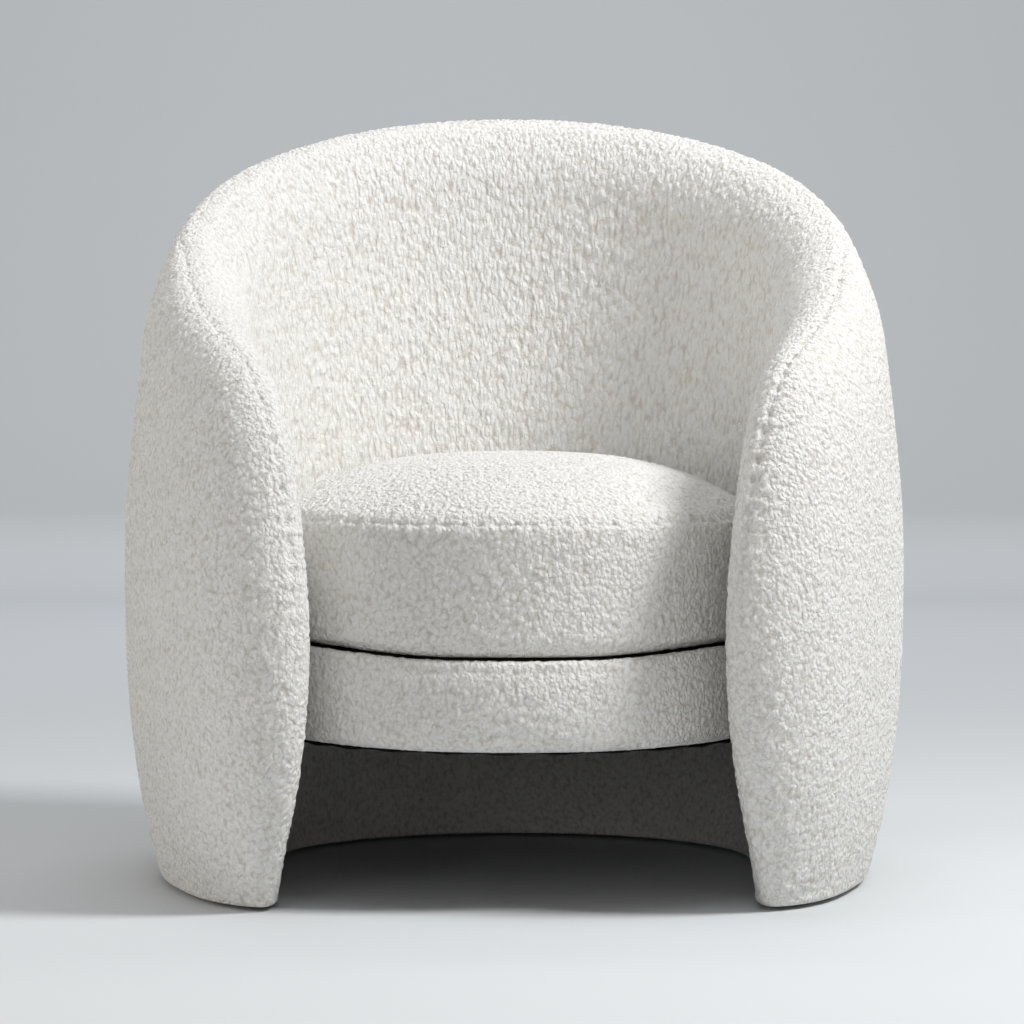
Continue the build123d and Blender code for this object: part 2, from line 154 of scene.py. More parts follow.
class ArmchairSizes(bpy.types.PropertyGroup):
    """Sizes of the upholstery."""

    cloth_grid: length("Cloth grid", "Spacing of the wall cloth's mesh", 3.0 * MM, 2 * MM, 10 * MM)
    curl: length("Curl width", "Width of one clump of the pile", 6.6 * MM, 3 * MM, 20 * MM)
    pile: length("Pile height", "How far the clumps stand above the gaps", 2.0 * MM, 0.5 * MM, 8 * MM)
    seam_depth: length("Seam depth", "How far a seam is drawn into the pile", 3.0 * MM, 0, 8 * MM)
    cushion_grid: length(
        "Cushion grid", "Spacing of the cushion's mesh before it is divided", 5 * MM, 3 * MM, 12 * MM)
    cushion_swell: length(
        "Cushion swell", "Most that the filling may lift the top panel", 22 * MM, 0, 40 * MM)
    band_bulge: length("Band bulge", "How far the seat band stands out at its middle", 5 * MM, 0, 12 * MM)


class ArmchairColours(bpy.types.PropertyGroup):
    """Colours of the cloth and the studio."""

    pile_tip: colour("Curl tips", "Ivory wool at the top of the curls", "#F3F2EF")
    # Painted shade: the colour between the curls is darker, standing in for the shade that falls into the
    # gaps.
    gap_painted_shade: colour("Between curls", "Deeper wool between the curls", "#D9D4CB")
    lining: colour("Deck lining", "Unbleached cotton under the cushion", "#DDD6C8")
    paper: colour("Studio paper", "Pale roll of paper under and behind the chair", "#DCDFE1")


# ---------------------------------------------------------------- mesh helpers
def smooth(value):
    """Eases from 0 to 1."""
    value = np.clip(value, 0.0, 1.0)
    return value * value * (3 - 2 * value)


def new_piece(name, points, faces):
    """A mesh object in the scene."""
    mesh = bpy.data.meshes.new(name)
    mesh.from_pydata([tuple(p) for p in points], [], faces)
    piece = bpy.data.objects.new(name, mesh)
    bpy.context.scene.collection.objects.link(piece)
    return piece


def bake_modifiers(piece):
    """Puts the result of a piece's modifiers into its mesh."""
    shaped = bpy.data.meshes.new_from_object(piece.evaluated_get(bpy.context.evaluated_depsgraph_get()))
    plain = piece.data
    piece.modifiers.clear()
    piece.data = shaped
    shaped.name = piece.name
    bpy.data.meshes.remove(plain)


def remesh(piece, grid, rounds):
    """Even quads all over a closed piece, smoothed a little."""
    voxels = piece.modifiers.new("Grid", "REMESH")
    voxels.mode = "VOXEL"
    voxels.voxel_size = grid
    settle = piece.modifiers.new("Settle", "SMOOTH")
    settle.factor = 0.5
    settle.iterations = rounds
    bake_modifiers(piece)


def vertex_array(mesh, field):
    """A vertex field as rows of three numbers."""
    flat = np.empty(len(mesh.vertices) * 3, np.float32)
    mesh.vertices.foreach_get(field, flat)
    return flat.reshape(-1, 3).astype(float)


def move_vertices(mesh, points):
    """Gives a mesh new vertex places."""
    mesh.vertices.foreach_set("co", points.astype(np.float32).ravel())
    mesh.update()


def set_pile(mesh, heights, runs):
    """Keeps each vertex's height in the pile and how far its curls line up, for the material."""
    for name, values in (("nap", heights), ("runs", runs)):
        mesh.attributes.new(name, "FLOAT", "POINT").data.foreach_set("value", values.astype(np.float32))


def part_of(name, mesh, chosen, heights, runs):
    """A new piece from some of a mesh's quads."""
    corners = np.empty(len(mesh.loops), np.int32)
    mesh.loops.foreach_get("vertex_index", corners)
    quads = corners.reshape(-1, 4)[chosen]
    used, renumbered = np.unique(quads, return_inverse=True)
    part = bpy.data.meshes.new(name)
    part.vertices.add(len(used))
    part.vertices.foreach_set("co", vertex_array(mesh, "co")[used].astype(np.float32).ravel())
    part.loops.add(quads.size)
    part.loops.foreach_set("vertex_index", renumbered.ravel().astype(np.int32))
    part.polygons.add(len(quads))
    part.polygons.foreach_set("loop_start", np.arange(0, quads.size, 4, dtype=np.int32))
    part.update(calc_edges=True)
    part.validate()
    set_pile(part, heights[used], runs[used])
    piece = bpy.data.objects.new(name, part)
    bpy.context.scene.collection.objects.link(piece)
    return piece


def finish_piece(piece, body, material, replaced=()):
    """Material, body, slot and the CAD nodes that a piece stands for."""
    piece.data.materials.clear()
    piece.data.materials.append(material)
    piece.data.shade_smooth()
    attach(piece, body)
    if replaced:
        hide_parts(*replaced)
    return piece


# ---------------------------------------------------------------- the pile
def curls(points, width, stretch):
    """Height in the pile: 0 in a gap, 1 on top of a curl. stretch makes the curls that much taller."""
    noise.seed_set(PILE_SEED)
    heights = np.empty(len(points))
    scaled = points / (width * np.array((1, 1, stretch)))
    for index, place in enumerate(scaled.tolist()):
        twisted = Vector(place)
        twisted += noise.noise_vector(twisted * 0.8) * 0.45
        distances = noise.voronoi(twisted)[0]
        heights[index] = distances[1] - distances[0] + 0.35 * (1 - distances[0])
    return smooth(heights / 0.75)


def pile_heights(points, sizes, runs):
    """Height in the pile, where runs is how far each point's curls line up in upright runs."""
    heights = curls(points, sizes.curl, 1.3)
    lined = runs > 0.01
    upright = curls(points[lined], sizes.curl, 2.6)
    heights[lined] += (upright - heights[lined]) * runs[lined]
    return heights


# ---------------------------------------------------------------- the wall's shape
def outer_radius(z):
    """Half the chair's width at a height."""
    foot = FOOT_TUCK * (np.clip(WIDEST_Z - z, 0, None) / WIDEST_Z) ** 2.7
    return HALF_WIDTH - foot - TOP_TUCK * smooth((z - WIDEST_Z) / TUCK_RISE)


def well_radius(z):
    """Radius of the inside of the back at a height."""
    return WELL_RADIUS - WELL_TAPER * (1 - smooth(z / 0.2)) + WELL_FLARE * smooth((z - 0.38) / 0.42)


def crest_plan(run):
    """Where the crest stands in plan at a run from straight back, and which way is out."""
    turn = np.abs(run) / CREST_RADIUS
    side = (np.abs(run) - QUARTER) / SIDE_RADIUS
    round_back = np.abs(run) < QUARTER
    x = np.where(round_back, CREST_RADIUS * np.sin(turn), CREST_RADIUS - SIDE_RADIUS * (1 - np.cos(side)))
    y = np.where(round_back, BACK_Y + CREST_RADIUS * np.cos(turn), BACK_Y - SIDE_RADIUS * np.sin(side))
    out_x = np.where(round_back, np.sin(turn), np.cos(side))
    out_y = np.where(round_back, np.cos(turn), -np.sin(side))
    return x * np.sign(run), y, out_x * np.sign(run), out_y


def from_crest(points):
    """Each point's run round from straight back, and how far outside the crest it is in plan."""
    x, y = points[:, 0], points[:, 1]
    behind = y > BACK_Y
    hub_x = np.abs(x) + SIDE_RADIUS - CREST_RADIUS
    run = np.where(
        behind, CREST_RADIUS * np.arctan2(np.abs(x), y - BACK_Y),
        QUARTER + SIDE_RADIUS * np.arctan2(BACK_Y - y, hub_x))
    offset = np.where(
        behind, np.hypot(x, y - BACK_Y) - CREST_RADIUS, np.hypot(hub_x, y - BACK_Y) - SIDE_RADIUS)
    return run * np.sign(x), offset


def crest_curve(steps):
    """One side of the crest line in (run, height), smoothed through its points, down to the foot."""
    knots = np.array(CREST_LINE) * MM
    curve = []
    for before, here, after, beyond in zip(knots, knots[1:], knots[2:], knots[3:]):
        for t in np.linspace(0, 1, steps, endpoint=False):
            curve.append(0.5 * (
                2 * here + (after - before) * t + (2 * before - 5 * here + 4 * after - beyond) * t**2
                + (3 * here - before - 3 * after + beyond) * t**3))
    curve = np.array(curve)
    return np.vstack((curve[curve[:, 1] > FOOT_Z], (FOOT_RUN, FOOT_Z)))


def crest_samples(count):
    """Evenly spaced points along one side of the crest line, in (run, height)."""
    curve = crest_curve(24)
    travelled = np.concatenate(([0], np.cumsum(np.hypot(*np.diff(curve, axis=0).T))))
    wanted = np.linspace(0, travelled[-1], count)
    return np.column_stack([np.interp(wanted, travelled, curve[:, i]) for i in (0, 1)])


def below_crest(sheet):
    """How far each (run, height) point lies from the crest line."""
    curve = crest_curve(12)
    start, step = curve[:-1], np.diff(curve, axis=0)
    nearest = np.full(len(sheet), 9.0)
    for origin, along in zip(start, step):
        share = np.clip((sheet - origin) @ along / (along @ along), 0, 1)
        gap = sheet - origin - share[:, None] * along
        nearest = np.minimum(nearest, np.hypot(gap[:, 0], gap[:, 1]))
    return nearest


def roll(depth, radius):
    """Share of the wall's thickness reached at a depth below its rounded crest."""
    return np.sqrt(1 - (1 - np.minimum(depth, radius) / radius) ** 2)


def wall_face(sheet, outside, inset):
    """Points on one face of the wall for (run, height) points, less a layer of this thickness."""
    run, z = sheet[:, 0], sheet[:, 1]
    away = np.abs(run)
    forward = smooth((away - 0.6) / 0.3)
    depth = np.clip(below_crest(np.column_stack((away, z))) - inset, 0, None)
    if outside:
        half = outer_radius(z) - CREST_RADIUS + 0.012 * smooth((away - 0.5) / 0.25)
        offset = (half - inset) * roll(depth, 0.060 + 0.050 * forward)
    else:
        at_back = CREST_RADIUS - well_radius(z)
        half = at_back + (ARM_HALF - at_back) * smooth((away - 0.50) / 0.5)
        # The lobes at the front are slimmer, most of all at the floor.
        at_foot = LOBE_FOOT_SLIM * (1 - smooth(z / LOBE_FOOT_RISE)) * smooth((away - 0.82) / 0.14)
        half -= LOBE_SLIM * smooth((away - 0.8) / 0.2) + at_foot
        offset = -(half - inset) * roll(depth, 0.075 - 0.025 * forward)
    x, y, out_x, out_y = crest_plan(run)
    return np.column_stack((x + out_x * offset, y + out_y * offset, z))


def wall_sheet(columns, rows):
    """(run, height) points in columns from the crest down to the floor, closest together at the crest."""
    half = crest_samples(columns)
    crest = np.vstack((half[:0:-1] * (-1, 1), half))
    share = np.linspace(-1, 1, len(crest))
    floor = np.column_stack((FOOT_RUN * share, np.full(len(crest), FOOT_Z)))
    down = np.linspace(0, 1, rows) ** 2
    return crest[:, None, :] + (floor - crest)[:, None, :] * down[None, :, None]


def wall_mesh(name):
    """The whole wall as one closed mesh."""
    sheet = wall_sheet(200, 48)
    columns, rows = sheet.shape[:2]
    flat = sheet.reshape(-1, 2)
    points = np.vstack((wall_face(flat, True, 0), wall_face(flat, False, 0)))
    faces = []
    inner = columns * rows
    for column in range(columns - 1):
        for row in range(rows - 1):
            here = column * rows + row
            faces.append((here, here + 1, here + rows + 1, here + rows))
            faces.append((inner + here, inner + here + rows, inner + here + rows + 1, inner + here + 1))
        foot = column * rows + rows - 1
        faces.append((foot, inner + foot, inner + foot + rows, foot + rows))
    piece = new_piece(name, points, faces)
    weld = piece.modifiers.new("Weld", "WELD")
    weld.merge_threshold = 0.02 * MM
    bake_modifiers(piece)
    return piece


def seam_shift(run):
    """How far behind the crest the seam between the wall's two covers lies."""
    return 0.028 * (1 - smooth((np.abs(run) - 0.40) / 0.22))


def seam_line():
    """Points along that seam, with how far along it each one is and how deep the seam shows there."""
    half = crest_samples(800)
    crest = np.vstack((half[:0:-1] * (-1, 1), half))
    shift = seam_shift(crest[:, 0])
    drop = 0.0085 * (shift / 0.028) ** 2
    x, y, out_x, out_y = crest_plan(crest[:, 0])
    points = np.column_stack((x + out_x * shift, y + out_y * shift, crest[:, 1] - drop))
    travelled = np.concatenate(([0], np.cumsum(np.linalg.norm(np.diff(points, axis=0), axis=1))))
    shows = smooth((crest[:, 1] - 0.20) / 0.15)
    return points, travelled, shows


def seam_pull(points, line, travelled, shows, depth):
    """How far a seam draws each point in: a groove with small puckers across it."""
    tree = kdtree.KDTree(len(line))
    for index, place in enumerate(line):
        tree.insert(place, index)
    tree.balance()
    found = [tree.find(place)[1:] for place in points.tolist()]
    nearest = np.array([hit[0] for hit in found])
    distance = np.array([hit[1] for hit in found])
    along = travelled[nearest]
    stitch = np.sin(along * 2 * math.pi / 0.017) + 0.6 * np.sin(along * 2 * math.pi / 0.0266 + 1.1)
    groove = depth * np.exp(-(distance / 0.0042) ** 2) * (1 + 0.25 * stitch)
    pucker = 0.28 * depth * np.exp(-(distance / 0.013) ** 2) * stitch
    return (groove + pucker) * shows[nearest]


# ---------------------------------------------------------------- seat shapes
def seat_outline(radius, arc_steps, side_steps):
    """The seat's plan: a half circle at the back and at the front, joined by straight sides."""
    outline = []
    for turn in np.linspace(0, math.pi, arc_steps, endpoint=False):
        outline.append((radius * math.cos(turn), SEAT_BACK_Y + radius * math.sin(turn)))
    for share in np.linspace(0, 1, side_steps, endpoint=False):
        outline.append((-radius, SEAT_BACK_Y + (SEAT_FRONT_Y - SEAT_BACK_Y) * share))
    for turn in np.linspace(math.pi, 2 * math.pi, arc_steps, endpoint=False):
        outline.append((radius * math.cos(turn), SEAT_FRONT_Y + radius * math.sin(turn)))
    for share in np.linspace(0, 1, side_steps, endpoint=False):
        outline.append((radius, SEAT_FRONT_Y + (SEAT_BACK_Y - SEAT_FRONT_Y) * share))
    return outline


def seat_solid(name, profile, ring):
    """A piece with the seat's plan from (radius, height) steps, solid or, with ring, open in the middle."""
    rings = [[(x, y, z) for x, y in seat_outline(radius, 64, 16)] for radius, z in profile]
    count = len(rings[0])
    points = [place for outline in rings for place in outline]
    faces = []
    steps = len(rings) if ring else len(rings) - 1
    for step in range(steps):
        low, high = step * count, (step + 1) % len(rings) * count
        for i in range(count):
            after = (i + 1) % count
            faces.append((low + i, low + after, high + after, high + i))
    if not ring:
        faces.append(tuple(reversed(range(count))))
        faces.append(tuple(range(len(points) - count, len(points))))
    return new_piece(name, points, faces)


def seat_polar(points):
    """Radius from the seat's spine, and the outward direction in plan."""
    spine_y = np.clip(points[:, 1], SEAT_FRONT_Y, SEAT_BACK_Y)
    out = np.column_stack((points[:, 0], points[:, 1] - spine_y))
    radius = np.maximum(np.hypot(out[:, 0], out[:, 1]), 1e-6)
    return radius, out / radius[:, None]


def arm_rise(points):
    """How much the front edge of the seat is drawn up towards the arms."""
    ends = smooth((np.abs(points[:, 0]) - 0.07) / 0.15)
    return 0.007 * ends * smooth((SEAT_FRONT_Y - points[:, 1]) / 0.08)


def swell(piece, pinned, caps):
    """Lets a closed cloth fill out under pressure, its seams held, no point past its cap."""
    mesh = piece.data
    start = vertex_array(mesh, "co")
    held = piece.vertex_groups.new(name="seams")
    held.add(np.flatnonzero(pinned).tolist(), 1.0, "REPLACE")
    cloth = piece.modifiers.new("Filling", "CLOTH")
    cloth.settings.quality = 5
    cloth.settings.mass = 0.3
    cloth.settings.tension_stiffness = 20
    cloth.settings.compression_stiffness = 20
    cloth.settings.shear_stiffness = 8
    cloth.settings.bending_stiffness = 4
    cloth.settings.use_pressure = True
    cloth.settings.uniform_pressure_force = 4
    cloth.settings.effector_weights.gravity = 0
    cloth.settings.vertex_group_mass = "seams"
    cloth.point_cache.frame_start = 1
    cloth.point_cache.frame_end = 20
    for step in range(1, 21):
        bpy.context.scene.frame_set(step)
    bake_modifiers(piece)
    moved = vertex_array(piece.data, "co") - start
    far = np.maximum(np.linalg.norm(moved, axis=1), 1e-9)
    moved *= (caps * np.tanh(far / np.maximum(caps, 1e-9)) / far)[:, None]
    move_vertices(piece.data, start + moved)
    piece.vertex_groups.clear()
    bpy.context.scene.frame_set(1)


# ---------------------------------------------------------------- materials
def node(tree, kind, settings=None, links=None):
    """Adds a node, sets its properties and inputs, and links its inputs from other nodes' outputs."""
    made = tree.nodes.new(kind)
    for key, value in (settings or {}).items():
        if isinstance(key, int) or key in made.inputs:
            made.inputs[key].default_value = value
        else:
            setattr(made, key, value)
    for key, source in (links or {}).items():
        tree.links.new(source, made.inputs[key])
    return made


def new_material(name):
    """An empty node material with its shader and output."""
    material = bpy.data.materials.new(name)
    material.use_nodes = True
    tree = material.node_tree
    tree.nodes.clear()
    shader = node(tree, "ShaderNodeBsdfPrincipled")
    node(tree, "ShaderNodeOutputMaterial", links={"Surface": shader.outputs["BSDF"]})
    return material, tree, shader


def shade(shader, **values):
    """Sets constants on a shader's own sockets."""
    for key, value in values.items():
        shader.inputs[key.replace("_", " ")].default_value = value


def ramp(tree, source, *stops):
    """A colour ramp through (place, hex or colour) stops."""
    made = node(tree, "ShaderNodeValToRGB", links={"Fac": source})
    elements = made.color_ramp.elements
    while len(elements) < len(stops):
        elements.new(0.5)
    for element, (place, value) in zip(elements, stops):
        element.position = place
        element.color = linear(value) if isinstance(value, str) else value
    return made


def bump(tree, shader, height, distance, strength=1.0):
    """Raises a surface by a height map, distance in metres."""
    made = node(tree, "ShaderNodeBump", {"Distance": distance, "Strength": strength}, {"Height": height})
    tree.links.new(made.outputs["Normal"], shader.inputs["Normal"])


def place(tree, stretch=(1.0, 1.0, 1.0)):
    """The piece's own coordinates in metres, scaled along each axis."""
    own = node(tree, "ShaderNodeTexCoord")
    made = node(tree, "ShaderNodeMapping", {"Scale": stretch}, {"Vector": own.outputs["Object"]})
    return made.outputs["Vector"]


def per_mm(size):
    """Texture scale for a feature of this many millimetres."""
    return 1000.0 / size


def boucle_material(colours):
    """Wool boucle, looped and brushed into curls: matt, with soft bright tips and darker gaps, from the bump
    and from shade painted into them.
    """
    material, tree, shader = new_material("wool_boucle_curled")
    shade(shader, Roughness=0.95, IOR=1.5, Specular_IOR_Level=0.15, Sheen_Weight=0.2, Sheen_Roughness=0.6)
    # Curls 4 mm wide, twice as tall where the pile lines up in upright runs.
    bent = node(tree, "ShaderNodeTexNoise", {"Scale": per_mm(9), "Detail": 1.0}, {"Vector": place(tree)})
    heights = []
    for stretch in (0.8, 0.38):
        twisted = node(tree, "ShaderNodeVectorMath", {"operation": "MULTIPLY_ADD", 1: (0.005, 0.005, 0.005)},
                       {0: bent.outputs["Color"], 2: place(tree, (1.0, 1.0, stretch))})
        curl = node(
            tree, "ShaderNodeTexVoronoi", {"Scale": per_mm(4.2), "feature": "SMOOTH_F1", "Smoothness": 0.35},
            {"Vector": twisted.outputs["Vector"]})
        heights.append(node(
            tree, "ShaderNodeMath", {"operation": "SUBTRACT", 0: 1.0}, {1: curl.outputs["Distance"]}))
    runs = node(tree, "ShaderNodeAttribute", {"attribute_name": "runs"})
    curl_height = node(
        tree, "ShaderNodeMix", {"data_type": "FLOAT"},
        {0: runs.outputs["Fac"], 2: heights[0].outputs["Value"], 3: heights[1].outputs["Value"]})
    # Single fibres are finer than this. They are drawn at 1.4 mm so that they show.
    fibres = node(tree, "ShaderNodeTexNoise", {"Scale": per_mm(1.4), "Detail": 2.0, "Roughness": 0.6},
                  {"Vector": place(tree)})
    surface = node(tree, "ShaderNodeMath", {"operation": "MULTIPLY_ADD", 1: 0.5},
                   {0: fibres.outputs["Fac"], 2: curl_height.outputs[0]})
    bump(tree, shader, surface.outputs["Value"], 3.0 * MM)
    # Painted shade: gaps between curls, and between the larger clumps that the nap keeps, are painted darker,
    # standing in for the shade that falls into them.
    nap = node(tree, "ShaderNodeAttribute", {"attribute_name": "nap"})
    depth = node(tree, "ShaderNodeMath", {"operation": "MULTIPLY_ADD", 1: 0.12},
                 {0: nap.outputs["Fac"], 2: surface.outputs["Value"]})
    tint = ramp(
        tree, depth.outputs["Value"], (0.40, tuple(colours.gap_painted_shade)), (0.86, tuple(colours.pile_tip)))
    tree.links.new(tint.outputs["Color"], shader.inputs["Base Color"])
    return material


def woven_material(name, light, dark, thread, roughness=0.9, depth=0.15):
    """Plain weave: crossed threads of this many millimetres, matt."""
    material, tree, shader = new_material(name)
    shade(shader, Roughness=roughness, IOR=1.5, Specular_IOR_Level=0.25)
    waves = []
    for axis in ("X", "Y"):
        waves.append(node(
            tree, "ShaderNodeTexWave",
            {"bands_direction": axis, "Scale": per_mm(thread) / 20 * math.pi, "Distortion": 0.4,
             "Detail": 1.0, "Detail Scale": 2.0},
            {"Vector": place(tree)}))
    crossed = node(tree, "ShaderNodeMath", {"operation": "MAXIMUM"},
                   {0: waves[0].outputs["Fac"], 1: waves[1].outputs["Fac"]})
    tint = ramp(tree, crossed.outputs["Value"], (0.3, dark), (0.9, light))
    tree.links.new(tint.outputs["Color"], shader.inputs["Base Color"])
    bump(tree, shader, crossed.outputs["Value"], depth * MM)
    return material


def speckled_material(name, light, dark, grain, roughness, depth, **more):
    """Cells, fibres or moulding grain of this many millimetres."""
    material, tree, shader = new_material(name)
    shade(shader, Roughness=roughness, **more)
    grains = node(tree, "ShaderNodeTexNoise", {"Scale": per_mm(grain), "Detail": 4.0, "Roughness": 0.6},
                  {"Vector": place(tree)})
    tint = ramp(tree, grains.outputs["Fac"], (0.35, dark), (0.65, light))
    tree.links.new(tint.outputs["Color"], shader.inputs["Base Color"])
    bump(tree, shader, grains.outputs["Fac"], depth * MM)
    return material


def foam_material(name, light, dark, cell):
    """Open-cell foam: small round cells, matt and slightly yellow."""
    material, tree, shader = new_material(name)
    shade(shader, Roughness=0.9, IOR=1.45, Specular_IOR_Level=0.3)
    cells = node(tree, "ShaderNodeTexVoronoi", {"Scale": per_mm(cell)}, {"Vector": place(tree)})
    tint = ramp(tree, cells.outputs["Distance"], (0.1, dark), (0.6, light))
    tree.links.new(tint.outputs["Color"], shader.inputs["Base Color"])
    bump(tree, shader, cells.outputs["Distance"], 0.4 * MM)
    return material


def wood_material(name, light, dark, grain, stretch, ply=0.0, roughness=0.6):
    """Sawn or planed wood: long grain, and with ply the light and dark edges of its veneers."""
    material, tree, shader = new_material(name)
    shade(shader, Roughness=roughness, IOR=1.5, Specular_IOR_Level=0.35)
    lines = node(tree, "ShaderNodeTexNoise", {"Scale": per_mm(grain), "Detail": 5.0, "Roughness": 0.55},
                 {"Vector": place(tree, stretch)})
    height = lines.outputs["Fac"]
    tint = ramp(tree, height, (0.3, dark), (0.7, light))
    surface = tint.outputs["Color"]
    if ply:
        veneers = node(
            tree, "ShaderNodeTexWave",
            {"bands_direction": "Z", "Scale": per_mm(ply) / 20 * math.pi, "Distortion": 0.3},
            {"Vector": place(tree)})
        edges = ramp(tree, veneers.outputs["Fac"], (0.2, "#D8BE98"), (0.8, "#FFFFFF"))
        mixed = node(tree, "ShaderNodeMix", {"data_type": "RGBA", "blend_type": "MULTIPLY"})
        mixed.inputs[0].default_value = 0.7
        tree.links.new(surface, mixed.inputs[6])
        tree.links.new(edges.outputs["Color"], mixed.inputs[7])
        surface = mixed.outputs[2]
    tree.links.new(surface, shader.inputs["Base Color"])
    bump(tree, shader, height, 0.2 * MM)
    return material


def steel_material(name, light, dark, roughness, draw):
    """Steel wire and plate: fine drawing lines of this many millimetres, a little uneven in colour."""
    material, tree, shader = new_material(name)
    shade(shader, Metallic=1.0, Roughness=roughness)
    lines = node(tree, "ShaderNodeTexNoise", {"Scale": per_mm(draw), "Detail": 3.0},
                 {"Vector": place(tree, (1.0, 1.0, 0.15))})
    tint = ramp(tree, lines.outputs["Fac"], (0.3, dark), (0.7, light))
    tree.links.new(tint.outputs["Color"], shader.inputs["Base Color"])
    bump(tree, shader, lines.outputs["Fac"], 0.03 * MM)
    return material


_made = {}


def material_for(slot):
    """The material of one of the chair's finishes, made once."""
    if slot not in _made:
        colours = bpy.context.scene.armchair_colours
        makers = {
            "boucle": lambda: boucle_material(colours),
            # Unbleached cotton, plain woven: small even threads under the cushion.
            "lining": lambda: woven_material("cotton_lining_woven", tuple(colours.lining), "#A39A88", 1.2),
            # Spun-bonded polypropylene, pressed from black fibres: faint pressed lattice.
            "cambric": lambda: woven_material(
                "polypropylene_spunbond_black", "#2A2A2B", "#0F0F10", 1.6, 0.8, 0.1),
            # Polyester zip tape, woven: fine ribs.
            "zip_cloth": lambda: woven_material("polyester_tape_woven", "#E0DACD", "#B3AB9B", 0.9, 0.85, 0.1),
            # Cut polyurethane foam: open cells.
            "foam": lambda: foam_material("polyurethane_foam_cut", "#EFE6C4", "#C9BC90", 1.4),
            # Polyester wrap, carded: soft white fibres in loose layers.
            "fibre": lambda: speckled_material(
                "polyester_fibre_carded", "#FBFBF9", "#D6D6D2", 4.0, 1.0, 1.0, Sheen_Weight=0.4),
            # Cotton felt, needled: grey fibres with flecks.
            "felt": lambda: speckled_material("cotton_felt_needled", "#A7A49E", "#6A6863", 2.0, 1.0, 0.4),
            # Birch plywood, sawn: dark and light veneer edges and long face grain.
            "plywood": lambda: wood_material(
                "birch_plywood_sawn", "#DCC49A", "#B8955F", 3.0, (1.0, 0.12, 1.0), 2.6),
            # Bending plywood, sanded: upright open grain.
            "bending_ply": lambda: wood_material(
                "bending_plywood_sanded", "#D9BC8D", "#AF8A5B", 3.5, (1.0, 1.0, 0.1)),
            # Beech, planed: short brown flecks in pale pink wood.
            "beech": lambda: wood_material(
                "beech_planed", "#DDB78E", "#B98858", 2.2, (0.2, 1.0, 1.0), 0.0, 0.55),
            # Nylon, injection moulded: fine satin grain.
            "nylon": lambda: speckled_material(
                "nylon_moulded", "#232325", "#171718", 0.6, 0.45, 0.03, IOR=1.53),
            "nail_steel": lambda: steel_material("steel_nail_drawn", "#A9A9A8", "#8A8A89", 0.35, 0.5),
            # Zinc plating, passivated: pale metal with a faint yellow cast.
            "bolt_steel": lambda: steel_material("steel_zinc_plated", "#C9C6B8", "#A8A496", 0.3, 0.8),
            # Spring wire, oil tempered: dark, smooth and slightly glossy.
            "spring_steel": lambda: steel_material(
                "steel_wire_oil_tempered", "#5A5856", "#3C3A39", 0.28, 0.7),
            # Zinc alloy, cast and nickel plated: satin.
            "zip_metal": lambda: steel_material("zinc_nickel_plated", "#C4C2BC", "#9E9C96", 0.25, 0.6),
        }
        _made[slot] = makers[slot]()
    return _made[slot]


# ---------------------------------------------------------------- operators
class ARMCHAIR_OT_finishes(bpy.types.Operator):
    """Gives every CAD node its material"""

    bl_idname = "armchair.finishes"
    bl_label = "Frame finishes"

    def execute(self, context):
        for part in frame["record"]["subparts"]:
            made = frame["nodes"][part["node"]]
            made.data.materials.clear()
            made.data.materials.append(material_for(part["material_slot"]))
        return {"FINISHED"}


class ARMCHAIR_OT_wall_covers(bpy.types.Operator):
    """Makes the boucle covers of the wall, inside and outside, sewn together along the crest"""

    bl_idname = "armchair.wall_covers"
    bl_label = "Wall covers"

    def execute(self, context):
        sizes = context.scene.armchair_sizes
        whole = wall_mesh("wall_whole")
        remesh(whole, sizes.cloth_grid, 4)
        mesh = whole.data
        points, normals = vertex_array(mesh, "co"), vertex_array(mesh, "normal")
        run, offset = from_crest(points)
        pull = seam_pull(points, *seam_line(), sizes.seam_depth)
        # On the inside of the back the curls hang in upright runs.
        inside = smooth((-0.012 - offset) / 0.02) * smooth((points[:, 2] - 0.30) / 0.1)
        runs = inside * (1 - smooth((np.abs(run) - 0.52) / 0.2))
        heights = pile_heights(points, sizes, runs)
        lift = sizes.pile * (heights - 0.6) * smooth((points[:, 2] - FOOT_Z) / 0.006)
        move_vertices(mesh, points + normals * (lift - pull)[:, None])
        centres = np.empty(len(mesh.polygons) * 3, np.float32)
        mesh.polygons.foreach_get("center", centres)
        centres = centres.reshape(-1, 3).astype(float)
        centre_run, centre_offset = from_crest(centres)
        outside = centre_offset > seam_shift(centre_run) * smooth((centres[:, 2] - 0.3) / 0.2)
        for name, chosen, replaced in (
                ("outer_cover_cloth", outside, "outer_cover"),
                ("inner_cover_cloth", ~outside, "inner_cover")):
            piece = part_of(name, mesh, chosen, heights, runs)
            finish_piece(piece, "frame", material_for("boucle"), [replaced])
        bpy.data.objects.remove(whole)
        bpy.data.meshes.remove(mesh)
        return {"FINISHED"}


class ARMCHAIR_OT_wall_foam(bpy.types.Operator):
    """Makes the foam that lies under the wall's covers"""

    bl_idname = "armchair.wall_foam"
    bl_label = "Wall foam"

    def execute(self, context):
        for name, outside, thickness, replaced in (
                ("outer_foam_pad", True, 0.010, "outer_foam"),
                ("inner_foam_pad", False, 0.020, "inner_foam")):
            sheet = wall_sheet(120, 30) * 0.984 + (0, 0.016 * FOOT_Z + 0.002)
            columns, rows = sheet.shape[:2]
            points = wall_face(sheet.reshape(-1, 2), outside, 0.007)
            faces = []
            for column in range(columns - 1):
                for row in range(rows - 1):
                    here = column * rows + row
                    quad = (here, here + 1, here + rows + 1, here + rows)
                    faces.append(quad[::-1] if outside else quad)
            piece = new_piece(name, points, faces)
            weld = piece.modifiers.new("Weld", "WELD")
            weld.merge_threshold = 0.1 * MM
            thick = piece.modifiers.new("Thickness", "SOLIDIFY")
            thick.thickness = thickness
            thick.offset = -1
            bake_modifiers(piece)
            finish_piece(piece, "frame", material_for("foam"), [replaced])
        return {"FINISHED"}


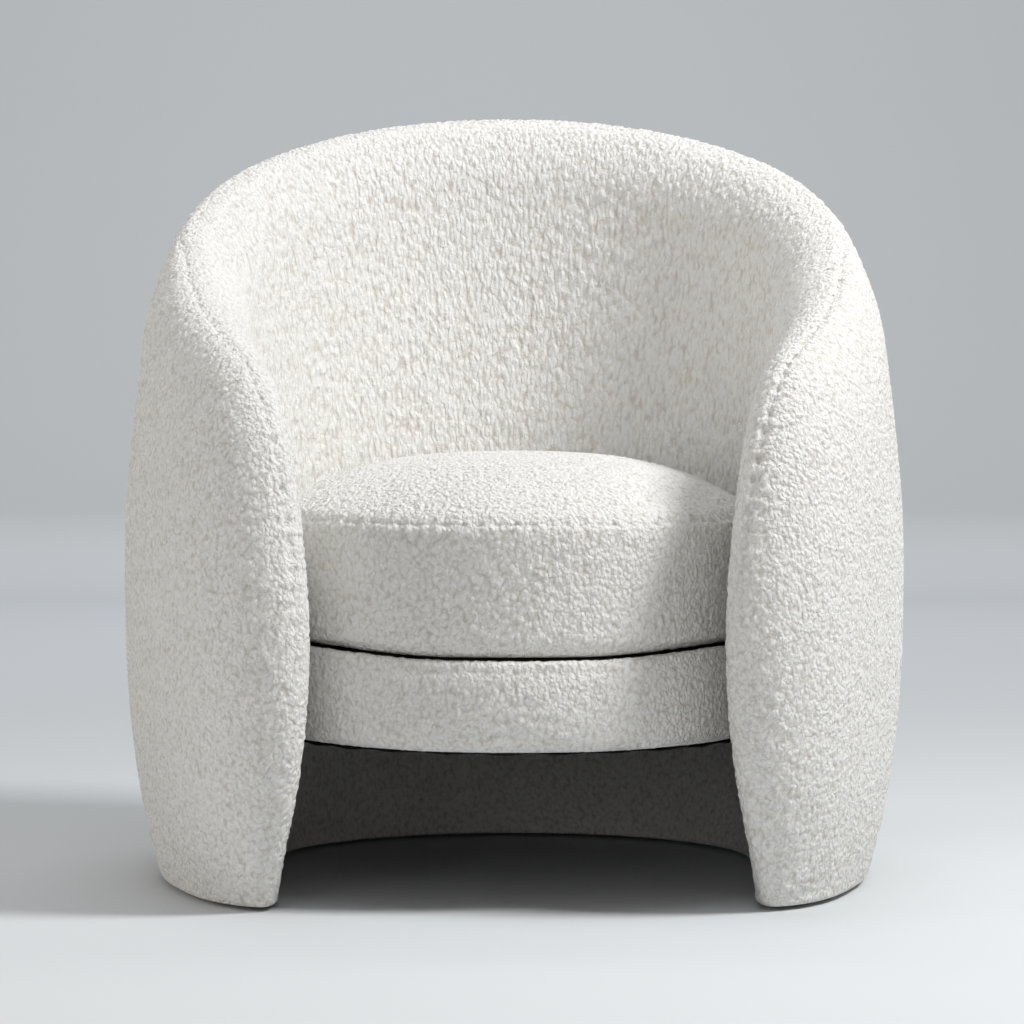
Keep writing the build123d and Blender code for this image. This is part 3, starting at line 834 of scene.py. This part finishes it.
class ARMCHAIR_OT_seat_band(bpy.types.Operator):
    """Makes the padded band of boucle round the seat platform"""

    bl_idname = "armchair.seat_band"
    bl_label = "Seat band"

    def execute(self, context):
        sizes = context.scene.armchair_sizes
        low, high = BAND_LOW + 0.0002, BAND_HIGH + 0.0008
        profile = [(BAND_BACK - 0.022, low + 0.003), (BAND_BACK - 0.022, low)]
        for corner_z, corner_r, turns in ((low, 0.013, (-90, 0)), (high, 0.007, (0, 90))):
            middle_z = corner_z + corner_r if corner_z == low else corner_z - corner_r
            for turn in np.radians(np.linspace(*turns, 7)):
                radius = BAND_RADIUS - 0.001 - corner_r + corner_r * math.cos(turn)
                profile.append((radius, middle_z + corner_r * math.sin(turn)))
        profile += [(BAND_BACK + 0.0005, high), (BAND_BACK + 0.0005, low + 0.003)]
        piece = seat_solid("seat_band_cloth", profile, True)
        remesh(piece, sizes.cloth_grid, 3)
        mesh = piece.data
        points, normals = vertex_array(mesh, "co"), vertex_array(mesh, "normal")
        radius, out = seat_polar(points)
        height = np.clip((points[:, 2] - low) / (high - low), 0, 1)
        front = smooth((SEAT_FRONT_Y - points[:, 1]) / 0.06)
        bulge = sizes.band_bulge * np.sin(math.pi * height) * front * (radius > BAND_BACK + 0.004)
        points[:, :2] += out * bulge[:, None]
        points[:, 2] += arm_rise(points) * (0.25 + 0.75 * height)
        seam_z = high - 0.011
        face = smooth((radius - BAND_RADIUS + 0.008) / 0.004)
        pull = 0.0014 * np.exp(-((points[:, 2] - seam_z - arm_rise(points)) / 0.003) ** 2) * face
        heights = pile_heights(points, sizes, np.zeros(len(points)))
        lift = sizes.pile * 0.9 * (heights - 0.6) * smooth((radius - BAND_BACK - 0.002) / 0.004)
        move_vertices(mesh, points + normals * (lift - pull)[:, None])
        set_pile(mesh, heights, 0 * heights)
        finish_piece(
            piece, "frame", material_for("boucle"), ["seat_band_cover", "seat_band_foam"])
        return {"FINISHED"}


class ARMCHAIR_OT_deck(bpy.types.Operator):
    """Makes the cotton deck over the springs, standing in for the deck cloth and its felt pad"""

    bl_idname = "armchair.deck"
    bl_label = "Seat deck"

    def execute(self, context):
        edge = BAND_BACK - 0.0005
        low, high = DECK_LOW + 0.0004, BAND_HIGH - 0.0014
        profile = [(0.012, low)] + [(r, low) for r in np.linspace(0.03, edge - 0.003, 12)]
        profile += [(edge, low + 0.002), (edge, high - 0.002)]
        profile += [(r, high) for r in np.linspace(edge - 0.002, 0.012, 40)]
        piece = seat_solid("deck_cover_cloth", profile, False)
        mesh = piece.data
        points = vertex_array(mesh, "co")
        radius, _ = seat_polar(points)
        upper = points[:, 2] > high - 0.0005
        # The four rows of springs show as very shallow ridges, and the cloth is stitched down near its edge.
        ridges = 0.0005 * np.cos(points[:, 0] * 2 * math.pi / 0.1)
        sag = 0.0022 * (1 - (radius / edge) ** 2)
        stitched = 0.0012 * np.exp(-((radius - edge + 0.014) / 0.003) ** 2)
        points[:, 2] -= upper * (sag + ridges * (1 - (radius / edge) ** 4) + 0.0005 + stitched)
        move_vertices(mesh, points)
        finish_piece(piece, "frame", material_for("lining"), ["deck_cloth", "deck_pad"])
        return {"FINISHED"}


class ARMCHAIR_OT_dust_cover(bpy.types.Operator):
    """Makes the dust cover stapled under the seat"""

    bl_idname = "armchair.dust_cover"
    bl_label = "Dust cover"

    def execute(self, context):
        low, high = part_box("dust_cloth")
        edge = high.x
        profile = [(r, low.z) for r in np.linspace(0.01, edge, 30)]
        profile += [(r, high.z) for r in np.linspace(edge, 0.01, 30)]
        piece = seat_solid("dust_cover_cloth", profile, False)
        points = vertex_array(piece.data, "co")
        radius, _ = seat_polar(points)
        turn = np.arctan2(points[:, 0], points[:, 1] - (SEAT_FRONT_Y + SEAT_BACK_Y) / 2)
        # It sags in the middle and puckers between its staples.
        sag = 0.004 * (1 - (radius / edge) ** 2)
        pucker = 0.0008 * np.sin(turn * 36) * smooth((radius / edge - 0.75) / 0.2)
        points[:, 2] -= sag + pucker + 0.0008
        move_vertices(piece.data, points)
        finish_piece(piece, "frame", material_for("cambric"), ["dust_cloth"])
        return {"FINISHED"}


class ARMCHAIR_OT_cushion(bpy.types.Operator):
    """Makes the boxed seat cushion, filled out by a cloth simulation"""

    bl_idname = "armchair.cushion"
    bl_label = "Seat cushion"

    def execute(self, context):
        sizes = context.scene.armchair_sizes
        low, seam = CUSHION_LOW + 0.0006, CUSHION_SEAM
        edge = CUSHION_RADIUS - 0.0022
        start_rise = CUSHION_TOP - seam - 0.012
        profile = [(0.01, low), (0.10, low), (edge - 0.016, low)]
        for turn in np.radians(np.linspace(-75, 0, 6)):
            profile.append((edge - 0.016 + 0.016 * math.cos(turn), low + 0.016 + 0.016 * math.sin(turn)))
        for share in np.linspace(0.1, 1, 8):
            profile.append((edge, low + 0.016 + (seam - low - 0.016) * share))
        for reach in (3, 7, 12, 20, 32, 48, 68, 92, 120, 150, 185, 220, 238):
            share = min(reach * MM / 0.19, 1.0)
            profile.append((edge - reach * MM, seam + start_rise * (1 - (1 - share) ** 2.7)))
        piece = seat_solid("seat_cushion_cover", profile, False)
        remesh(piece, sizes.cushion_grid, 2)
        points = vertex_array(piece.data, "co")
        radius, _ = seat_polar(points)
        near_edge = radius > edge - 0.010
        seams = near_edge & (np.abs(points[:, 2] - seam) < 0.6 * sizes.cushion_grid)
        underside = points[:, 2] < low + 0.004
        caps = np.where(points[:, 2] > seam, sizes.cushion_swell, 0.0035)
        swell(piece, seams | underside, caps)
        divide = piece.modifiers.new("Divide", "SUBSURF")
        divide.levels = divide.render_levels = 1
        bake_modifiers(piece)
        mesh = piece.data
        points, normals = vertex_array(mesh, "co"), vertex_array(mesh, "normal")
        radius, out = seat_polar(points)
        # The filling is fullest a little behind the middle, and the sides keep clear of the arms.
        limit = edge + 0.0035 * smooth((SEAT_FRONT_Y - points[:, 1]) / 0.08)
        points[:, :2] -= out * np.clip(radius - limit, 0, None)[:, None]
        points[:, 2] = np.maximum(points[:, 2], low)
        rise = arm_rise(points)
        points[:, 2] += rise * (1 - smooth((points[:, 2] - low) / 0.09))
        radius, out = seat_polar(points)
        side = smooth((radius - edge + 0.014) / 0.008)
        turn = np.arctan2(points[:, 0], points[:, 1] - SEAT_FRONT_Y)
        stitch = np.sin(turn * 92) + 0.6 * np.sin(turn * 57 + 1.0)
        pull = sizes.seam_depth * np.exp(-((points[:, 2] - seam) / 0.0036) ** 2) * side * (1 + 0.2 * stitch)
        broad = 0.4 * sizes.seam_depth * np.exp(-((points[:, 2] - seam) / 0.013) ** 2)
        pull += broad * side * (1 + 0.5 * stitch)
        pull += 0.5 * sizes.seam_depth * np.exp(-((points[:, 2] - low - 0.008) / 0.004) ** 2) * side
        heights = pile_heights(points, sizes, np.zeros(len(points)))
        lift = sizes.pile * 0.9 * (heights - 0.6) * smooth((points[:, 2] - low + 0.001) / 0.006)
        shaped = points + normals * (lift - pull)[:, None]
        # The zip lies in a shallow channel round the back.
        round_back = np.abs(np.arctan2(points[:, 0], points[:, 1] - SEAT_BACK_Y)) < ZIP_REACH + 0.02
        beside = (points[:, 2] > ZIP_LOW - 0.003) & (points[:, 2] < ZIP_HIGH + 0.003)
        channel = round_back & beside & (radius > edge - 0.01)
        shaped_radius, out = seat_polar(shaped)
        past_zip = np.clip(shaped_radius - ZIP_FACE + 0.0022, 0, None)
        shaped[:, :2] -= (out * past_zip[:, None]) * channel[:, None]
        shaped[:, 2] = np.maximum(shaped[:, 2], CUSHION_LOW + 0.0002)
        move_vertices(mesh, shaped)
        set_pile(mesh, heights, 0 * heights)
        finish_piece(
            piece, "cushion", material_for("boucle"),
            ["cushion_top_panel", "cushion_boxing", "cushion_bottom_panel"])
        return {"FINISHED"}


class ARMCHAIR_OT_filling(bpy.types.Operator):
    """Makes the cushion's foam core and the fibre wrapped round it"""

    bl_idname = "armchair.filling"
    bl_label = "Cushion filling"

    def execute(self, context):
        for name, slot, inset in (("cushion_wrap", "fibre", 0.006), ("cushion_core", "foam", 0.024)):
            low, seam, edge = CUSHION_LOW + inset, CUSHION_SEAM - inset / 2, CUSHION_RADIUS - inset
            rise = CUSHION_TOP - inset - 0.008 - seam
            profile = [(0.01, low), (edge - 0.02, low), (edge - 0.006, low + 0.004)]
            profile += [(edge, low + 0.016), (edge, seam)]
            for reach in FILL_STEPS:
                share = min(reach * MM / 0.19, 1.0)
                profile.append((edge - reach * MM, seam + rise * (1 - (1 - share) ** 2.7)))
            piece = seat_solid(name + "_pad", profile, False)
            remesh(piece, 8 * MM, 4)
            finish_piece(piece, "cushion", material_for(slot), [name])
        return {"FINISHED"}


class ARMCHAIR_OT_zip_teeth(bpy.types.Operator):
    """Makes the zip's row of moulded teeth on its tape"""

    bl_idname = "armchair.zip_teeth"
    bl_label = "Zip teeth"

    def execute(self, context):
        pitch, half_width, thick = 3.2 * MM, 2.6 * MM, 0.8 * MM
        count = int(2 * (ZIP_REACH - 0.02) * ZIP_FACE / pitch)
        middle_z = (ZIP_LOW + ZIP_HIGH) / 2
        points, faces = [], []
        for index, turn in enumerate(np.linspace(-ZIP_REACH + 0.02, ZIP_REACH - 0.02, count)):
            side = 1 if index % 2 else -1
            half_turn = 0.36 * pitch / ZIP_FACE
            first = len(points)
            for radius in (ZIP_FACE - 0.0001, ZIP_FACE + thick):
                taper = 1.0 if radius < ZIP_FACE else 0.7
                for step, z in ((-1, -0.3), (1, -0.3), (1, 1), (-1, 1)):
                    angle = turn + step * taper * half_turn
                    height = middle_z + side * z * taper * half_width
                    points.append((radius * math.sin(angle), SEAT_BACK_Y + radius * math.cos(angle), height))
            box = [(0, 1, 2, 3), (7, 6, 5, 4), (0, 4, 5, 1), (1, 5, 6, 2), (2, 6, 7, 3), (3, 7, 4, 0)]
            faces += [tuple(first + i for i in (quad if side > 0 else quad[::-1])) for quad in box]
        piece = new_piece("zip_teeth", points, faces)
        edge = piece.modifiers.new("Rounded", "BEVEL")
        edge.width = 0.2 * MM
        edge.segments = 1
        bake_modifiers(piece)
        finish_piece(piece, "cushion", material_for("nylon"))
        return {"FINISHED"}


class ARMCHAIR_OT_stage(bpy.types.Operator):
    """Sets the paper sweep, the lights and the camera"""

    bl_idname = "armchair.stage"
    bl_label = "Studio"

    def execute(self, context):
        scene = context.scene
        scene.view_settings.view_transform = "Standard"
        scene.view_settings.look = "None"
        width, front, back, bend, top = 12.0, -7.0, 11.0, 2.5, 9.0
        line = [(front, 0.0)] + [(y, 0.0) for y in np.linspace(-2, back - bend, 20)]
        for turn in np.radians(np.linspace(10, 90, 9)):
            line.append((back - bend + bend * math.sin(turn), bend * (1 - math.cos(turn))))
        line.append((back, top))
        points = [(x, y, z) for y, z in line for x in (-width, width)]
        faces = [(2 * i, 2 * i + 1, 2 * i + 3, 2 * i + 2) for i in range(len(line) - 1)]
        sweep = new_piece("studio_paper", points, faces)
        sweep.data.shade_smooth()
        sweep.data.materials.append(paper_material(scene.armchair_colours.paper))
        for name, place_at, aim, size, power, tint in LIGHTS:
            light = bpy.data.lights.new(name, "AREA")
            light.shape = "SQUARE"
            light.size = size
            light.energy = power
            light.color = linear(tint)[:3]
            lamp = bpy.data.objects.new(name, light)
            lamp.location = place_at
            lamp.rotation_euler = (Vector(aim) - Vector(place_at)).to_track_quat("-Z", "Y").to_euler()
            scene.collection.objects.link(lamp)
        world = bpy.data.worlds.new("studio_air")
        world.use_nodes = True
        world.node_tree.nodes["Background"].inputs["Color"].default_value = linear(AIR_COLOUR)
        world.node_tree.nodes["Background"].inputs["Strength"].default_value = AIR_STRENGTH
        scene.world = world
        data = bpy.data.cameras.new("camera")
        data.sensor_width = CAMERA_SENSOR
        data.lens = CAMERA_LENS
        camera = bpy.data.objects.new("camera", data)
        camera.location = CAMERA_PLACE
        sight = Vector(CAMERA_AIM) - camera.location
        camera.rotation_euler = sight.to_track_quat("-Z", "Y").to_euler()
        scene.collection.objects.link(camera)
        scene.camera = camera
        return {"FINISHED"}


def paper_material(tint):
    """Matt studio paper, with painted light and shade: white near the front and greyer far back, in place of
    the lamps' fall-off.
    """
    material, tree, shader = new_material("studio_paper_matt")
    shade(shader, Roughness=1.0, Specular_IOR_Level=0.0)
    own = node(tree, "ShaderNodeTexCoord")
    split = node(tree, "ShaderNodeSeparateXYZ", links={"Vector": own.outputs["Object"]})
    depth = node(
        tree, "ShaderNodeMapRange", {"From Min": PAPER_FRONT_Y, "From Max": PAPER_FAR_Y},
        {"Value": split.outputs["Y"]})
    # Painted light and shade: the paper's colour runs from white at the front to grey far back.
    painted_light = ramp(tree, depth.outputs["Result"], *PAPER_PAINTED_LIGHT)
    grain = node(tree, "ShaderNodeTexNoise", {"Scale": per_mm(2.5), "Detail": 2.0},
                 {"Vector": own.outputs["Object"]})
    mixed = node(tree, "ShaderNodeMix", {"data_type": "RGBA", "blend_type": "MULTIPLY"})
    mixed.inputs[0].default_value = 1.0
    mixed.inputs[7].default_value = tuple(tint)
    tree.links.new(painted_light.outputs["Color"], mixed.inputs[6])
    tree.links.new(mixed.outputs[2], shader.inputs["Base Color"])
    bump(tree, shader, grain.outputs["Fac"], 0.05 * MM)
    return material


class ARMCHAIR_PT_build(bpy.types.Panel):
    """Lists the chair's parts in the 3D view's sidebar"""

    bl_idname = "ARMCHAIR_PT_build"
    bl_label = "Barrel armchair"
    bl_space_type = "VIEW_3D"
    bl_region_type = "UI"
    bl_category = "Armchair"

    def draw(self, context):
        for group in (context.scene.armchair_sizes, context.scene.armchair_colours):
            for name in group.__annotations__:
                self.layout.prop(group, name)
        for operator in OPERATORS:
            self.layout.operator(operator.bl_idname)


OPERATORS = (
    ARMCHAIR_OT_finishes, ARMCHAIR_OT_wall_covers, ARMCHAIR_OT_wall_foam, ARMCHAIR_OT_seat_band,
    ARMCHAIR_OT_deck, ARMCHAIR_OT_dust_cover, ARMCHAIR_OT_cushion, ARMCHAIR_OT_filling,
    ARMCHAIR_OT_zip_teeth, ARMCHAIR_OT_stage,
)
CLASSES = (ArmchairSizes, ArmchairColours) + OPERATORS + (ARMCHAIR_PT_build,)


def register():
    """Makes the settings, operators and panel known to Blender."""
    for made in CLASSES:
        bpy.utils.register_class(made)
    bpy.types.Scene.armchair_sizes = bpy.props.PointerProperty(type=ArmchairSizes)
    bpy.types.Scene.armchair_colours = bpy.props.PointerProperty(type=ArmchairColours)


def unregister():
    """Takes them away again."""
    del bpy.types.Scene.armchair_colours
    del bpy.types.Scene.armchair_sizes
    for made in reversed(CLASSES):
        bpy.utils.unregister_class(made)


def main():
    """Builds the chair piece by piece."""
    register()
    bpy.ops.armchair.finishes()
    bpy.ops.armchair.wall_covers()
    bpy.ops.armchair.wall_foam()
    bpy.ops.armchair.seat_band()
    bpy.ops.armchair.deck()
    bpy.ops.armchair.dust_cover()
    bpy.ops.armchair.cushion()
    bpy.ops.armchair.filling()
    bpy.ops.armchair.zip_teeth()
    bpy.ops.armchair.stage()


if __name__ == "__main__":
    main()
